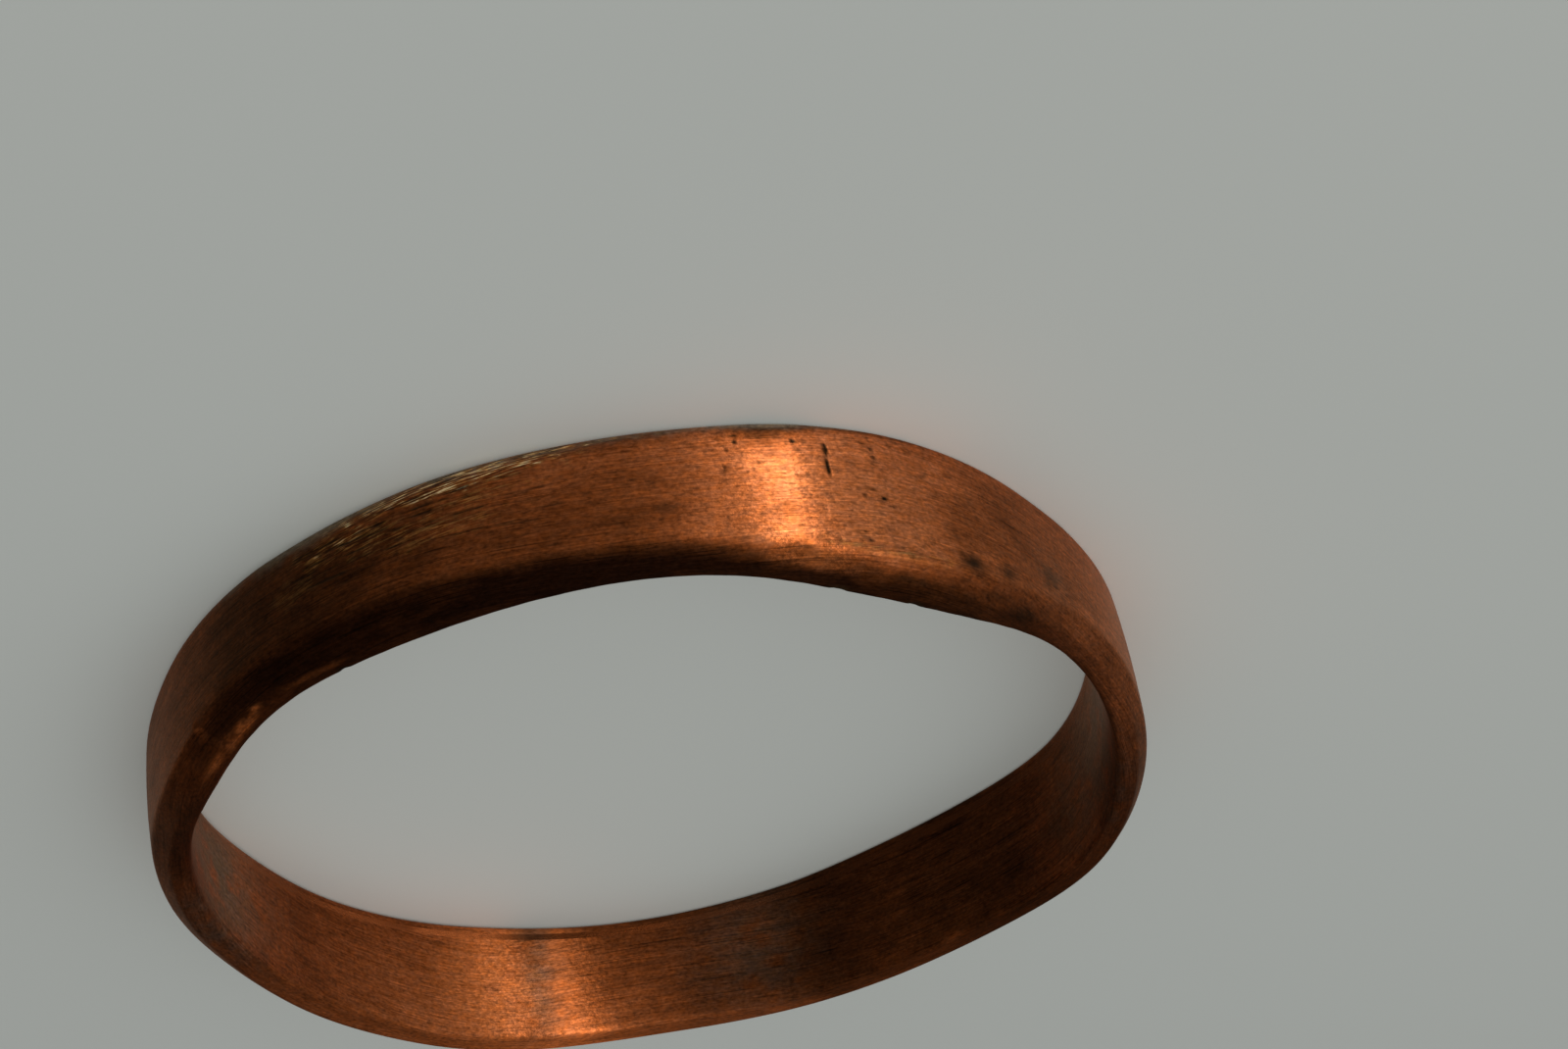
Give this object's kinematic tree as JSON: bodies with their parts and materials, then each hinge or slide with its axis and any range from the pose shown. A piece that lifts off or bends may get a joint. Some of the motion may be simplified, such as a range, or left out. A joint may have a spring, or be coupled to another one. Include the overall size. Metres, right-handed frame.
{
  "type": "plain copper finger ring",
  "caption": "Plain hand-made copper finger ring: a bent and filed strip, uneven and tarnished, lying on its side.",
  "frame": {"origin": "on the plane that the ring lies on, under the centre of its bounding box", "axes": "+Z along the axis of the finger hole, up from the rest face; -Y towards the front of the band, the picture's near side; +X to the left of the picture"},
  "size_m": [0.02, 0.0202, 0.0031],
  "materials": {
    "copper": null
  },
  "bodies": {
    "root": {"ring_band": "copper"}
  },
  "joints": []
}
